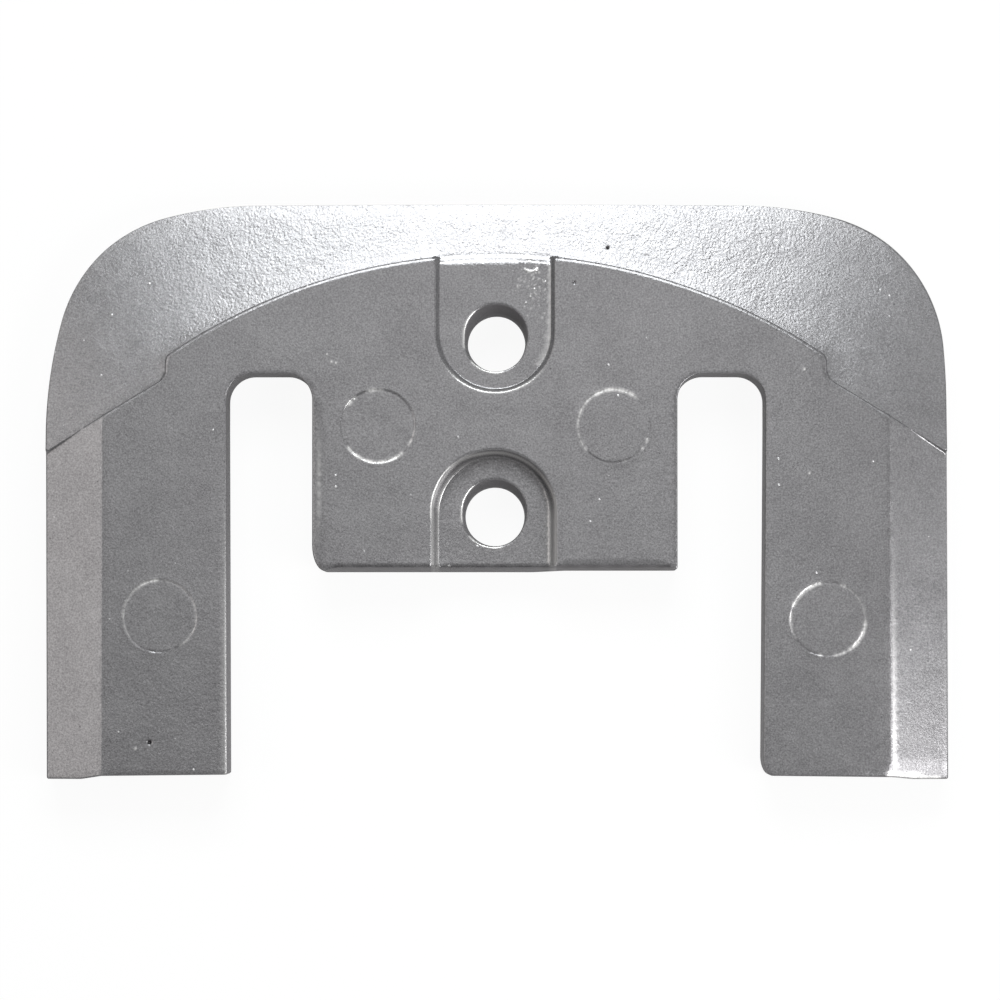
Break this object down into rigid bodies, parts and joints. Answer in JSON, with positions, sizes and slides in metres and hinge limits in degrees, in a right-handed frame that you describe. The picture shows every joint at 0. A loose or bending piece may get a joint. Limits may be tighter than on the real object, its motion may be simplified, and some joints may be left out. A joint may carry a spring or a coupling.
{
  "type": "sacrificial anode",
  "caption": "Flat sacrificial anode casting with legs at both ends, a middle tab, a raised arched face, a sloping border and bolt holes in stepped seats.",
  "frame": {"origin": "middle of the plain back face, below the centre of the box", "axes": "+X across the legs, +Y from the leg ends towards the curved top edge, +Z out of the raised face"},
  "size_m": [0.1442, 0.0918, 0.012],
  "materials": {
    "cast_metal": "as-cast satin with a fine grain"
  },
  "bodies": {
    "root": {"anode_casting": "cast_metal"}
  },
  "joints": []
}
